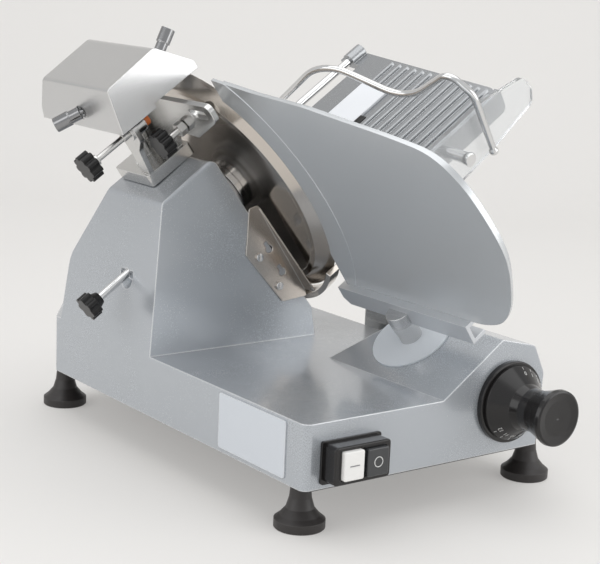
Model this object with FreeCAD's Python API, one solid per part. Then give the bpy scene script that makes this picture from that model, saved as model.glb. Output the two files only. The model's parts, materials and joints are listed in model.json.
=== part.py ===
import FreeCAD, Part
import math
import os
from FreeCAD import Vector

# Gravity feed slicer, millimetres, +Z up, ground at z = 0.
# Pieces are first placed in a machine frame whose origin is the front left corner of the base on the
# ground: x to the carriage side, y to the back.  ORIGIN_X and ORIGIN_Y then move the origin to the
# middle of the footprint.
# The blade, gauge plate and carriage stand in a frame tilted by TILT about y:
# v runs out of the blade to the carriage side, u runs up along the blade, y is shared.
# The carriage bed leans back by a further BED_LEAN about v.

ORIGIN_X = 181.5
ORIGIN_Y = 224.5
TILT = 35.0
BED_LEAN = 8.0

RUN = 0.05          # radial running clearance
GAP = 0.3           # clearance between faces that pass each other
WALL = 5.0          # casting wall

# base
BASE_W = 297.0
BASE_L = 540.0
BASE_Z = 51.4
BASE_TOP = 115.5
PLATE_T = 3.4
LEDGE_W = 345.0
LEDGE_TOP = 80.0
LEDGE_NOSE = 47.0    # slanted front of the ledge
SKEW_X = 40.0        # cut corner at the back left
SKEW_Y = 59.0
FOOT_R = 25.0
FOOT_STEM_R = 10.0
FOOT_X = (28.3, LEDGE_W - 19.1)
FOOT_Y = (40.7, BASE_L - 29.1)
FOOT_SCREW_R = 4.0
GLAND_X = 70.0
GLAND_Z = 82.0

# ramp and tower
RAMP_U = -1.2
TOWER_Y = 274.0
TOWER_TOP_U = 222.0
SEAT_T = 14.0        # sharpener seat on the tower
SEAT_U = TOWER_TOP_U + SEAT_T

# blade
BLADE_Y = 333.0
BLADE_U = 155.0
BLADE_R = 150.0
EDGE_V = 280.0
WEB_T = 4.0
WEB_V = EDGE_V - 6.0
HUB_R = 30.0
SHAFT_R = 12.0
SHAFT_BORE = 5.5
TIE_R = 4.25
HOUSING_R = 30.0
BEARING_R = 24.0
BEARING_T = 8.0
GUARD_IN = 152.0
GUARD_OUT = 158.0
GUARD_V = (EDGE_V - 16.0, EDGE_V + 1.0)
COVER_R = 118.0

# drive
BELT_V = (222.0, 236.0)
PULLEY_R = 45.0
PINION_R = 16.0
BELT_T = 3.5
MOTOR_Y = 390.0
MOTOR_U = 45.0
MOTOR_R = 42.0
MOTOR_V = (115.0, 205.0)
MOTOR_SHAFT_R = 7.0
WEB_PLATE_V = (205.0, 211.0)

# gauge
PLATE_V = (EDGE_V - 10.0, EDGE_V)
PLATE_RIM_T = 3.5    # thin rim round the free edge
PLATE_RIM_W = 6.0
PLATE_CUT_R = 154.0
PLATE_FOOT_U = 44.5
BRACKET_U = 22.0
BRACKET_V = PLATE_V[0] - 8.0
BRACKET_Y = (0.0, 202.0)
BRACKET_T = 4.0
STEM_V = PLATE_V[0] - 8.5
STEM_Y = 106.5
STEM_R = 12.0
STEM_TOP_U = 36.0
DISC_R = 43.7
GAUGE_ROD_R = 6.0
GAUGE_ROD_U = -33.0
GAUGE_TRAVEL = 15.0
DIAL_X = 254.0
DIAL_Z = 103.5
DIAL_SHAFT_R = 5.0

# carriage
BED_TOP = 50.0
BED_T = 8.0
BED_V = (EDGE_V + 4.0, EDGE_V + 288.0)
BED_Y = (225.0, 471.0)
RIB_PITCH = 13.0
RIB_W = 8.4
RIB_H = 3.2
RAIL_R = 4.0
INSERT_V = (290.0, 517.0)
INSERT_Y = (357.0, 402.0)
INSERT_T = 3.0
COLUMN_X = (309.0, 333.0)
COLUMN_Y = (235.0, 303.0)
SLIDE_X = 321.0
SLIDE_Z = 64.5
SLIDE_R = 7.0
BUSH_R = 9.0
PUSH_Y = 455.0
PUSH_U = 52.0
PUSH_R = 5.0
PUSH_ROD_V = (292.0, 564.0)
PUSH_BAY_Y = 437.0   # the deck ends here between the two ears of the guide rod
PUSH_BOSS_V = ((290.0, 303.0), (545.0, 568.0))
SLEEVE_V = (400.0, 440.0)
SLEEVE_R = 7.5
HUB_TUBE_R = 11.0
WIRE_R = 4.0
GUARD_YB = (187.0, 193.0)
SPACER_V = (380.0, 468.0)
SPACER_U = 38.0

# sharpener
POST_V = 218.0
POST_Y = 364.0
POST_R = 8.0
HOOD_T = 2.5
KNOB_CORE = 12.5
KNOB_LOBE = 3.6
KNOB_T = 13.0
BOLT_R = 6.6
BOLT_H = 6.0


def box(x0, x1, y0, y1, z0, z1):
    return Part.makeBox(x1 - x0, y1 - y0, z1 - z0, Vector(x0, y0, z0))


def bar(radius, a, b, y, z):
    """Round bar along the first axis (x, or v in the tilted frame)."""
    return Part.makeCylinder(radius, b - a, Vector(a, y, z), Vector(1, 0, 0))


def bar_y(radius, a, b, x, z):
    return Part.makeCylinder(radius, b - a, Vector(x, a, z), Vector(0, 1, 0))


def bar_z(radius, a, b, x, y):
    return Part.makeCylinder(radius, b - a, Vector(x, y, a), Vector(0, 0, 1))


def round_corner(before, corner, after, radius):
    """Start, middle and end of the arc that rounds one corner."""
    first = (before - corner).normalize()
    second = (after - corner).normalize()
    half = first.getAngle(second) / 2.0
    reach = radius / math.tan(half)
    middle = (first + second).normalize()
    centre = corner + middle * (radius / math.sin(half))
    return corner + first * reach, centre - middle * radius, corner + second * reach


def inset(points, gap):
    """The same outline moved inwards by gap."""
    area = sum(p[0] * q[1] - q[0] * p[1] for p, q in zip(points, points[1:] + points[:1]))
    side = 1.0 if area > 0 else -1.0
    moved = []
    for i, here in enumerate(points):
        last = points[i - 1]
        following = points[(i + 1) % len(points)]
        a = Vector(here[0] - last[0], here[1] - last[1], 0).normalize()
        b = Vector(following[0] - here[0], following[1] - here[1], 0).normalize()
        normal_a = Vector(-a.y, a.x, 0) * side
        normal_b = Vector(-b.y, b.x, 0) * side
        scale = gap / (1.0 + normal_a.dot(normal_b))
        shift = (normal_a + normal_b) * scale
        moved.append((here[0] + shift.x, here[1] + shift.y))
    return moved


def prism(points, axis, a, b, corner=0.0):
    """Straight prism; points are the other two coordinates in their usual order."""
    def at(p):
        if axis == "x":
            return Vector(a, p[0], p[1])
        if axis == "y":
            return Vector(p[0], a, p[1])
        return Vector(p[0], p[1], a)
    length = b - a
    along = {"x": Vector(length, 0, 0), "y": Vector(0, length, 0), "z": Vector(0, 0, length)}[axis]
    corners = [at(p) for p in points]
    radii = corner if isinstance(corner, (list, tuple)) else [corner] * len(corners)
    edges = []
    arcs = []
    for i, here in enumerate(corners):
        if radii[i] > 0:
            arcs.append(round_corner(corners[i - 1], here, corners[(i + 1) % len(corners)], radii[i]))
        else:
            arcs.append((here, None, here))
    for i, (start, middle, end) in enumerate(arcs):
        if middle is not None:
            edges.append(Part.Arc(start, middle, end).toShape())
        following = arcs[(i + 1) % len(arcs)][0]
        if (following - end).Length > 0.001:
            edges.append(Part.makeLine(end, following))
    return Part.Face(Part.Wire(edges)).extrude(along)


def turned(profile, y, u, start=0.0, sweep=360.0):
    """Body of revolution about the first axis; profile points are (v, radius)."""
    points = [Vector(v, y, u) + Vector(0, r, 0) for v, r in profile]
    face = Part.Face(Part.makePolygon(points + points[:1]))
    if start:
        face.rotate(Vector(0, y, u), Vector(1, 0, 0), start)
    return face.revolve(Vector(0, y, u), Vector(1, 0, 0), sweep)


def swept_rod(points, bends, radius):
    """Round rod along straight runs joined by tangent arcs, one bend for each inner corner."""
    path = [Vector(*p) for p in points]
    edges = []
    last = path[0]
    for before, corner, after, bend in zip(path, path[1:], path[2:], bends):
        start, middle, end = round_corner(before, corner, after, bend)
        edges.append(Part.makeLine(last, start))
        edges.append(Part.Arc(start, middle, end).toShape())
        last = end
    edges.append(Part.makeLine(last, path[-1]))
    circle = Part.makeCircle(radius, path[0], path[1] - path[0])
    return Part.Wire(edges).makePipeShell([Part.Wire(circle)], True, False)


def hexagon(a, b, radius):
    return [(a + radius * math.cos(math.radians(60 * k)), b + radius * math.sin(math.radians(60 * k)))
            for k in range(6)]


def soften(shape, radius, pick):
    return shape.makeFillet(radius, [e for e in shape.Edges if pick(e)])


def on_plane(axis, value):
    """Picks the edges that lie in the plane axis = value."""
    low = axis + "Min"
    high = axis + "Max"

    def pick(edge):
        limits = edge.BoundBox
        return abs(getattr(limits, low) - value) < 0.01 and abs(getattr(limits, high) - value) < 0.01
    return pick


def tilted(shape):
    shape = shape.copy()
    shape.rotate(Vector(0, 0, 0), Vector(0, 1, 0), -TILT)
    return shape


def across(v, u):
    """The (x, z) of a point given in the tilted frame."""
    lean = math.radians(TILT)
    return v * math.cos(lean) - u * math.sin(lean), v * math.sin(lean) + u * math.cos(lean)


def leaned(shape):
    """From the bed frame to the machine frame."""
    shape = shape.copy()
    shape.rotate(Vector(0, 0, 0), Vector(1, 0, 0), BED_LEAN)
    return tilted(shape)


def group(shapes):
    return Part.makeCompound(shapes)


# ---------------------------------------------------------------- body casting

BASE_PLAN = [(0, 0), (BASE_W, 0), (BASE_W, BASE_L), (SKEW_X, BASE_L), (0, BASE_L - SKEW_Y)]
LEDGE_PLAN = [(BASE_W - 12, 0), (BASE_W, 0), (LEDGE_W, LEDGE_NOSE), (LEDGE_W, BASE_L), (BASE_W - 12, BASE_L)]
HUMP_FACE = [(150, 106), (167, BASE_TOP), (242, 168), (286.6, 157.5), (302, 127), (BASE_W, BASE_Z), (150, BASE_Z)]
HUMP_PLAN = [(100, 0), (320, 0), (320, 88), (302, 100), (242, 137), (100, 224)]
TOWER_FACE = [(0, 60), (0, BASE_TOP), across(167.9, TOWER_TOP_U - 1.4), across(243, TOWER_TOP_U), (190, 169),
              (200, 160), (210, 148), (216, BASE_TOP), (216, 60)]
TOWER_SIDE = [(TOWER_Y, -150), (TOWER_Y, TOWER_TOP_U), (383, TOWER_TOP_U), (458.5, 153), (486, 20), (492, -150)]
SLIDE_BOX = (301.0, 341.0, 62.0, BASE_L - 110)
COLUMN_SLOT = (307.0, 335.0, 66.0, BASE_L - 114)
SLIDE_ROD_Y = (50.0, BASE_L - 98)


def base_block(gap):
    corners = 8.0 if gap == 0 else 3.0
    return prism(inset(BASE_PLAN, gap), "z", BASE_Z, BASE_TOP - gap, corners)


def hump(gap):
    ridge = prism(inset(HUMP_FACE, gap), "y", 0, 230, [0, 0, 5, 9, 12, 0, 0])
    plan = prism(inset(HUMP_PLAN, gap), "z", 40, 200, [0, 0, 0, 6, 14, 0])
    return ridge.common(plan)


def tower(gap):
    front = prism(inset(TOWER_FACE, gap), "y", TOWER_Y - 20, 520, [0, 0, 9, 9, 20, 12, 5, 0, 0])
    side = tilted(prism(inset(TOWER_SIDE, gap), "x", -80, 340, [0, 5, 8, 30, 0, 0]))
    return front.common(side)


def slide_ledge():
    ledge = prism(LEDGE_PLAN, "z", BASE_Z, LEDGE_TOP, [0, 0, 8, 8, 0])
    ledge = soften(ledge, 3.0, on_plane("Z", LEDGE_TOP))
    x0, x1, y0, y1 = SLIDE_BOX
    ledge = ledge.cut(box(x0, x1, y0, y1, BASE_Z - 1, LEDGE_TOP - WALL))
    ledge = ledge.cut(box(x0, x1, y1 + 16, BASE_L - 45, BASE_Z - 1, LEDGE_TOP - WALL))
    x0, x1, y0, y1 = COLUMN_SLOT
    ledge = ledge.cut(box(x0, x1, y0, y1, LEDGE_TOP - 10, LEDGE_TOP + 5))
    return ledge.cut(bar_y(SLIDE_R, SLIDE_ROD_Y[0], SLIDE_ROD_Y[1], SLIDE_X, SLIDE_Z))


def casting_bosses(skin):
    """Inside pads that carry the drive, the gauge and the feet."""
    web = tilted(box(WEB_PLATE_V[0], WEB_PLATE_V[1], TOWER_Y + 1, 488, -40, TOWER_TOP_U - 2))
    web = web.common(tower(1.0))
    web = web.cut(tilted(bar(20, 200, 216, BLADE_Y, BLADE_U)))
    web = web.cut(tilted(bar(11, 200, 216, MOTOR_Y, MOTOR_U)))
    knob_boss = tilted(bar(18, 90, 132, BLADE_Y, BLADE_U)).common(skin)
    dial_boss = bar_y(11, 4, 30, DIAL_X, DIAL_Z)
    lug_v = (STEM_V - 46.5, STEM_V + 24.5)
    rod_lugs = [tilted(box(v, v + 6, STEM_Y - 14, STEM_Y + 14, GAUGE_ROD_U - 12, -4)) for v in lug_v]
    foot_bosses = []
    for x in FOOT_X:
        for y in FOOT_Y:
            top = LEDGE_TOP - 4 if x > BASE_W else BASE_TOP - 4
            foot_bosses.append(bar_z(9, BASE_Z, top, x, y))
    housing_boss = tilted(bar(40, 240, 252, BLADE_Y, BLADE_U))
    lugs = [tilted(box(244, GUARD_V[0], 318, 348, -14, 12)), tilted(box(240, GUARD_V[0], 449, 474, 64, 92))]
    return [web, knob_boss, dial_boss, housing_boss] + rod_lugs + foot_bosses + lugs


def body_casting():
    low = base_block(0).fuse(hump(0)).removeSplitter()
    skin = low.fuse([tower(0), slide_ledge()])
    hollow = base_block(WALL).fuse([hump(WALL), tower(WALL)])
    hollow = hollow.fuse(prism(inset(BASE_PLAN, WALL), "z", BASE_Z - 5, BASE_Z + 1, 3.0))
    shell = skin.cut(hollow)
    shell = shell.fuse(casting_bosses(skin))
    cuts = [tilted(bar(HOUSING_R, 230, 264, BLADE_Y, BLADE_U)),
            tilted(bar(13, 60, 118, BLADE_Y, BLADE_U)),
            tilted(bar(TIE_R + RUN, 90, 140, BLADE_Y, BLADE_U)),
            tilted(bar(GAUGE_ROD_R, STEM_V - 49.5, STEM_V + 30.5, STEM_Y, GAUGE_ROD_U)),
            tilted(box(STEM_V - GAUGE_TRAVEL - 14, STEM_V + 14, STEM_Y - 14, STEM_Y + 14, -10, 4)),
            tilted(bar(MOTOR_R, MOTOR_V[0], MOTOR_V[1], MOTOR_Y, MOTOR_U)),
            bar_y(DIAL_SHAFT_R + RUN, -2, 40, DIAL_X, DIAL_Z),
            bar_y(6.0, BASE_L - 12, BASE_L + 2, GLAND_X, GLAND_Z),
            box(26, 82, -2, 8, 62, 92)]
    for x in FOOT_X:
        for y in FOOT_Y:
            cuts.append(bar_z(FOOT_SCREW_R, BASE_Z - 6, 70, x, y))
    for x, z in DEFLECTOR_SCREWS:
        cuts.append(bar_y(2.0, TOWER_Y - 1, TOWER_Y + 7, x, z))
    for v, y in BRACKET_BOLTS:
        cuts.append(tilted(bar_z(3.0, TOWER_TOP_U - 12, TOWER_TOP_U + 2, v, y)))
    return shell.cut(cuts)


def bottom_plate():
    plan = [(0, 0), (BASE_W, 0), (LEDGE_W, LEDGE_NOSE), (LEDGE_W, BASE_L), (SKEW_X, BASE_L), (0, BASE_L - SKEW_Y)]
    plate = prism(inset(plan, 6.0), "z", BASE_Z - PLATE_T, BASE_Z, 6.0)
    holes = [bar_z(FOOT_SCREW_R, BASE_Z - 5, BASE_Z + 1, x, y) for x in FOOT_X for y in FOOT_Y]
    return plate.cut(holes)


def foot(x, y):
    top = BASE_Z - PLATE_T
    profile = [(0, 5), (0, FOOT_R - 1), (1, FOOT_R), (9, FOOT_R), (13, 20), (20, 14), (30, 11),
               (40, FOOT_STEM_R), (top, FOOT_STEM_R + 1), (top, FOOT_SCREW_R), (16, FOOT_SCREW_R), (16, 5)]
    points = [Vector(r, 0, z) for z, r in profile]
    face = Part.Face(Part.makePolygon(points + points[:1]))
    solid = face.revolve(Vector(0, 0, 0), Vector(0, 0, 1), 360)
    solid.translate(Vector(x, y, 0))
    return solid


def feet():
    return group([foot(x, y) for x in FOOT_X for y in FOOT_Y])


def foot_screws():
    return group([bar_z(FOOT_SCREW_R, 16, 69, x, y) for x in FOOT_X for y in FOOT_Y])


def label_plate():
    return prism([(29, 56), (140, 56), (140, 112), (29, 112)], "x", -1.2, 0.0, 3.0)


def cord_gland():
    gland = bar_y(6.0, BASE_L - 8, BASE_L, GLAND_X, GLAND_Z)
    gland = gland.fuse(bar_y(12.0, BASE_L, BASE_L + 4, GLAND_X, GLAND_Z))
    gland = gland.fuse(bar_y(9.0, BASE_L + 4, BASE_L + 9, GLAND_X, GLAND_Z))
    return gland.cut(bar_y(4.0, BASE_L - 9, BASE_L + 10, GLAND_X, GLAND_Z))


# ---------------------------------------------------------------- drive

def motor():
    v0, v1 = MOTOR_V
    case = bar(MOTOR_R, v0 + 8, v1 - 6, MOTOR_Y, MOTOR_U)
    ends = [bar(MOTOR_R - 5, v0, v0 + 8, MOTOR_Y, MOTOR_U), bar(MOTOR_R - 5, v1 - 6, v1, MOTOR_Y, MOTOR_U)]
    fins = []
    for i in range(12):
        fin = box(v0 + 16, v1 - 14, MOTOR_Y - 1.5, MOTOR_Y + 1.5, MOTOR_U + MOTOR_R - 2, MOTOR_U + MOTOR_R + 4)
        fin.rotate(Vector(0, MOTOR_Y, MOTOR_U), Vector(1, 0, 0), 30 * i)
        fins.append(fin)
    solid = case.fuse(ends + fins)
    solid = solid.cut(bar(MOTOR_SHAFT_R + RUN, v1 - 20, v1 + 1, MOTOR_Y, MOTOR_U))
    return tilted(solid)


def motor_pulley():
    shaft = bar(MOTOR_SHAFT_R, MOTOR_V[1] - 19, BELT_V[1] + 2, MOTOR_Y, MOTOR_U)
    rim = bar(PINION_R, BELT_V[0], BELT_V[1], MOTOR_Y, MOTOR_U)
    return tilted(shaft.fuse(rim))


def loop(grow, v0, v1):
    """Solid bounded by the belt line, grown outwards by grow."""
    big = PULLEY_R + grow
    small = PINION_R + grow
    along = Vector(0, MOTOR_Y - BLADE_Y, MOTOR_U - BLADE_U)
    reach = along.Length
    along.normalize()
    across = Vector(0, -along.z, along.y)
    lean = math.asin((big - small) / reach)
    first = Vector(v0, BLADE_Y, BLADE_U)
    second = Vector(v0, MOTOR_Y, MOTOR_U)
    upper = along * math.sin(lean) + across * math.cos(lean)
    lower = along * math.sin(lean) - across * math.cos(lean)
    a1 = first + upper * big
    a2 = first + lower * big
    b1 = second + upper * small
    b2 = second + lower * small
    edges = [Part.Arc(a1, first - along * big, a2).toShape(), Part.makeLine(a2, b2),
             Part.Arc(b2, second + along * small, b1).toShape(), Part.makeLine(b1, a1)]
    return Part.Face(Part.Wire(edges)).extrude(Vector(v1 - v0, 0, 0))


def drive_belt():
    v0, v1 = BELT_V
    outer = loop(GAP + BELT_T, v0 + 1.5, v1 - 1.5)
    inner = loop(GAP, v0, v1)
    return tilted(outer.cut(inner))


def blade_pulley():
    v0, v1 = BELT_V
    hub = bar(20, v0 - 4, v1, BLADE_Y, BLADE_U)
    rim = bar(PULLEY_R, v0, v1, BLADE_Y, BLADE_U).cut(bar(PULLEY_R - 5, v0 - 1, v1 + 1, BLADE_Y, BLADE_U))
    disc = bar(PULLEY_R - 5, v0 + 4, v1 - 4, BLADE_Y, BLADE_U)
    for i in range(5):
        angle = math.radians(72 * i)
        y = BLADE_Y + 30 * math.cos(angle)
        u = BLADE_U + 30 * math.sin(angle)
        disc = disc.cut(bar(6, v0, v1, y, u))
    return tilted(hub.fuse([rim, disc]).cut(bar(SHAFT_R, v0 - 6, v1 + 1, BLADE_Y, BLADE_U)))


def blade_shaft():
    shaft = bar(SHAFT_R, 215, WEB_V, BLADE_Y, BLADE_U).fuse(bar(HUB_R, 262.5, WEB_V - WEB_T, BLADE_Y, BLADE_U))
    shaft = shaft.cut(bar(SHAFT_BORE, 210, 280, BLADE_Y, BLADE_U))
    return tilted(shaft.cut([bar(3, 263.5, 276, y, u) for y, u in blade_screw_places()]))


def blade_screw_places():
    places = []
    for i in range(4):
        angle = math.radians(45 + 90 * i)
        places.append((BLADE_Y + 21 * math.cos(angle), BLADE_U + 21 * math.sin(angle)))
    return places


def bearing_housing():
    body = bar(HOUSING_R, 238, 261.5, BLADE_Y, BLADE_U).fuse(bar(37, 252, 257, BLADE_Y, BLADE_U))
    body = body.cut(bar(BEARING_R - 4, 237, 263, BLADE_Y, BLADE_U))
    body = body.cut([bar(BEARING_R, 238, 238 + BEARING_T, BLADE_Y, BLADE_U),
                     bar(BEARING_R, 261.5 - BEARING_T, 262, BLADE_Y, BLADE_U)])
    return tilted(body)


def bearing(v0):
    v1 = v0 + BEARING_T
    ring = bar(BEARING_R, v0, v1, BLADE_Y, BLADE_U).cut(bar(SHAFT_R + RUN, v0 - 1, v1 + 1, BLADE_Y, BLADE_U))
    groove = bar(20, v0 - 1, v0 + 1, BLADE_Y, BLADE_U).cut(bar(16, v0 - 2, v0 + 2, BLADE_Y, BLADE_U))
    return ring.cut(groove)


def bearings():
    return group([tilted(bearing(238)), tilted(bearing(261.5 - BEARING_T))])


# ---------------------------------------------------------------- blade

def blade():
    profile = [(WEB_V - WEB_T, SHAFT_R), (WEB_V - WEB_T, 125), (268, 125), (268, 132), (277.5, 146),
               (EDGE_V, BLADE_R), (EDGE_V, 126), (WEB_V, 124), (WEB_V, SHAFT_R)]
    disc = turned(profile, BLADE_Y, BLADE_U)
    return tilted(disc.cut([bar(3, 268, 276, y, u) for y, u in blade_screw_places()]))


def blade_screws():
    screws = []
    for y, u in blade_screw_places():
        screws.append(tilted(bar(3, 263.5, WEB_V, y, u).fuse(bar(5, WEB_V, WEB_V + 2.2, y, u))))
    return group(screws)


def ring_guard():
    v0, v1 = GUARD_V
    profile = [(v0, GUARD_IN), (v0, GUARD_OUT), (v1 - 2, GUARD_OUT), (v1, GUARD_OUT - 2), (v1, GUARD_IN)]
    return tilted(turned(profile, BLADE_Y, BLADE_U, 219.0, 201.0))


def blade_cover():
    profile = [(277.0, 0), (277.0, 96), (276.8, COVER_R), (278.4, COVER_R), (279.5, COVER_R - 6), (279.5, 0)]
    disc = turned(profile, BLADE_Y, BLADE_U).fuse(bar(9, 275, 277.5, BLADE_Y, BLADE_U))
    return tilted(disc.cut(bar(TIE_R + RUN, 274, 279.05, BLADE_Y, BLADE_U)))


def tie_rod():
    return tilted(bar(TIE_R, 68, 279.0, BLADE_Y, BLADE_U))


def star(v0, v1, y, u, core, lobe, count):
    """Knob with rounded lobes, along the first axis."""
    lobes = []
    for i in range(count):
        angle = 2 * math.pi * i / count
        reach = core - lobe * 0.2
        lobes.append(bar(lobe, v0, v1, y + reach * math.cos(angle), u + reach * math.sin(angle)))
    return bar(core, v0, v1, y, u).fuse(lobes)


def star_knob():
    knob = star(55, 67, BLADE_Y, BLADE_U, 11.5, 3.6, 7)
    knob = knob.fuse(turned([(67, 0), (67, 10), (75, 7), (75, 0)], BLADE_Y, BLADE_U))
    return tilted(knob.cut(bar(TIE_R, 68, 76, BLADE_Y, BLADE_U)))


# ---------------------------------------------------------------- exit side

DEFLECTOR = [(117, 214), (118, 232), (119, 265), (130, 268), (140, 256.5), (198, 173.6), (201, 162), (168, 158.5)]
DEFLECTOR_SCREWS = [(134.5, 210.9), (162.6, 177.1)]
DEFLECTOR_KEYS = [(147.4, 219.0), (166.4, 192.2)]


def slice_deflector():
    sheet = prism(DEFLECTOR, "y", TOWER_Y - 1.5, TOWER_Y, [3, 3, 3, 3, 0, 0, 2, 3])
    lip = tilted(prism([(TOWER_Y - 1.5, 142), (TOWER_Y - 1.5, 26), (253, 26)], "x", 259.8, 261.3, [0, 0, 3]))
    sheet = sheet.fuse(lip)
    for x, z in DEFLECTOR_KEYS:
        key = bar_y(4.5, TOWER_Y - 3, TOWER_Y + 1, x, z)
        tail = box(x - 2.2, x + 2.2, TOWER_Y - 3, TOWER_Y + 1, z, z + 10)
        tail.rotate(Vector(x, 0, z), Vector(0, 1, 0), -38)
        sheet = sheet.cut([key, tail])
    holes = [bar_y(2.0, TOWER_Y - 3, TOWER_Y + 1, x, z) for x, z in DEFLECTOR_SCREWS]
    return sheet.cut(holes)


def deflector_screws():
    screws = []
    for x, z in DEFLECTOR_SCREWS:
        shank = bar_y(2.0, TOWER_Y - 1.5, TOWER_Y + 6, x, z)
        head = bar_y(4.5, TOWER_Y - 4, TOWER_Y - 1.5, x, z)
        head = head.cut(box(x - 0.6, x + 0.6, TOWER_Y - 5, TOWER_Y - 3, z - 5, z + 5))
        screws.append(shank.fuse(head))
    return group(screws)


# ---------------------------------------------------------------- gauge

PLATE_TOP = [(195, 155), (243, 155), (243, 306), (180, 297), (103, 290), (63, 283.5)]
PLATE_NOSE = [(63, 283.5), (-37.5, 266.5), (-60, 259.5), (-79, 243.5), (-90, 225), (-98.5, 197), (-102.5, 170),
              (-102, 148), (-97, 129), (-89, 110), (-79.5, 91), (-68, 74), (-56, 61.5), (-43, 53), (-26, 47.3),
              (0, PLATE_FOOT_U)]


def plate_outline(gap, v0, v1):
    """Gauge plate with a smooth free edge, its outline moved inwards by gap."""
    ring = inset(PLATE_TOP + PLATE_NOSE[1:] + [(195, PLATE_FOOT_U)], gap)
    nose = [Vector(v0, y, u) for y, u in ring[len(PLATE_TOP) - 1:-1]]
    curve = Part.BSplineCurve()
    curve.interpolate(Points=nose, InitialTangent=Vector(0, -1, -0.16), FinalTangent=Vector(0, 1, -0.02))
    straight = [Vector(v0, y, u) for y, u in ring[-1:] + ring[:len(PLATE_TOP) - 1]]
    sides = [Part.makeLine(p, q) for p, q in zip([nose[-1]] + straight, straight + [nose[0]])]
    return Part.Face(Part.Wire([curve.toShape()] + sides)).extrude(Vector(v1 - v0, 0, 0))


def gauge_plate_upright():
    """The plate in the tilted frame, with the shallow step on its exit face."""
    v0, v1 = PLATE_V
    plate = plate_outline(0, v0, v0 + PLATE_RIM_T).fuse(plate_outline(PLATE_RIM_W, v0, v1))
    plate = plate.cut(bar(PLATE_CUT_R, v0 - 1, v1 + 1, BLADE_Y, BLADE_U))
    crease = box(v0 - 1, v0 + 0.6, -120, 260, 30, 320).cut(bar(190, v0 - 2, v0 + 2, BLADE_Y + 4, BLADE_U - 3))
    return plate.cut(crease)


def gauge_plate():
    return tilted(gauge_plate_upright())


def gauge_bracket():
    """Channel under the plate: web on the exit side, one leg under the plate and one on the stem."""
    y0, y1 = BRACKET_Y
    side = [(y0, BRACKET_U), (y1 - 8, BRACKET_U), (y1, BRACKET_U + 8), (y1, PLATE_FOOT_U), (y0, PLATE_FOOT_U)]
    block = prism(side, "x", BRACKET_V, PLATE_V[1], 0)
    room = box(BRACKET_V + BRACKET_T, PLATE_V[1] + 1, y0 - 1, y1 + 1, BRACKET_U + BRACKET_T,
               PLATE_FOOT_U - BRACKET_T)
    return tilted(block.cut(room))


def gauge_stem():
    profile = [(-20, 0), (-20, STEM_R), (8, STEM_R), (BRACKET_U, STEM_R + 2), (BRACKET_U, 0)]
    points = [Vector(STEM_V + r, STEM_Y, u) for u, r in profile]
    face = Part.Face(Part.makePolygon(points + points[:1]))
    stem = face.revolve(Vector(STEM_V, STEM_Y, 0), Vector(0, 0, 1), 360)
    clasp = bar_z(STEM_R + 2, BRACKET_U, STEM_TOP_U, STEM_V, STEM_Y)
    clasp = clasp.cut(box(BRACKET_V, BRACKET_V + 40, STEM_Y - 20, STEM_Y + 20, BRACKET_U - 1, STEM_TOP_U + 1))
    return tilted(stem.fuse(clasp))


def splash_disc():
    disc = bar_z(DISC_R, RAMP_U + GAP, RAMP_U + GAP + 2, STEM_V, STEM_Y)
    return tilted(disc.cut(bar_z(STEM_R, -5, 5, STEM_V, STEM_Y)))


def gauge_slide_block():
    block = box(STEM_V - 12, STEM_V + 12, 90, 123, -45, -20)
    block = block.fuse(bar_y(3, 81.5, 91, STEM_V, -40))
    return tilted(block.cut(bar(GAUGE_ROD_R + RUN, STEM_V - 20, STEM_V + 20, STEM_Y, GAUGE_ROD_U)))


def gauge_slide_rod():
    return tilted(bar(GAUGE_ROD_R, STEM_V - 48.5, STEM_V + 30.5, STEM_Y, GAUGE_ROD_U))


def dial_shaft():
    shaft = bar_y(DIAL_SHAFT_R, -60, 84, DIAL_X, DIAL_Z).fuse(bar_y(36, 76, 84, DIAL_X, DIAL_Z))
    ring = bar_y(34.5, 81, 85, DIAL_X, DIAL_Z).cut(bar_y(15, 80, 86, DIAL_X, DIAL_Z))
    return shaft.cut(ring)


def dial_ring():
    ring = bar_y(42, -6, 0, DIAL_X, DIAL_Z)
    ring = soften(ring, 1.5, on_plane("Y", -6))
    return ring.cut(bar_y(DIAL_SHAFT_R + RUN, -8, 2, DIAL_X, DIAL_Z))


def dial_knob():
    profile = [(-6.3, 0), (-6.3, 38), (-9, 38), (-26, 24), (-34, 21.5), (-44, 21.5), (-56, 25), (-66, 28.5),
               (-70, 28), (-71, 26), (-69.5, 18), (-69, 0)]
    points = [Vector(DIAL_X + r, y, DIAL_Z) for y, r in profile]
    face = Part.Face(Part.makePolygon(points + points[:1]))
    knob = face.revolve(Vector(DIAL_X, 0, DIAL_Z), Vector(0, 1, 0), 360)
    return knob.cut(bar_y(DIAL_SHAFT_R, -60, 0, DIAL_X, DIAL_Z))


# ---------------------------------------------------------------- switch

BUTTONS = {"start": (28.0, 51.0, 64.0, 92.0), "stop": (55.0, 80.0, 64.0, 91.0)}
BUTTON_FACE = -25.0


def switch_plate():
    plate = prism([(18, 56), (88, 56), (88, 98), (18, 98)], "y", -2.5, 0, 3.0)
    return plate.cut(box(26, 82, -4, 2, 62, 92))


def switch_housing():
    case = prism([(20.5, 59), (86, 59), (86, 96), (20.5, 96)], "y", -20, -2.5, 4.0)
    case = soften(case, 1.5, on_plane("Y", -20))
    case = case.fuse(box(26, 82, -4, 30, 62, 92))
    for x0, x1, z0, z1 in BUTTONS.values():
        case = case.cut(box(x0 - GAP, x1 + GAP, -22, -6, z0 - GAP, z1 + GAP))
    return case


def button(name):
    x0, x1, z0, z1 = BUTTONS[name]
    cap = prism([(x0, z0), (x1, z0), (x1, z1), (x0, z1)], "y", BUTTON_FACE, -10, 2.0)
    return soften(cap, 1.2, on_plane("Y", BUTTON_FACE))


# ---------------------------------------------------------------- carriage

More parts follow.
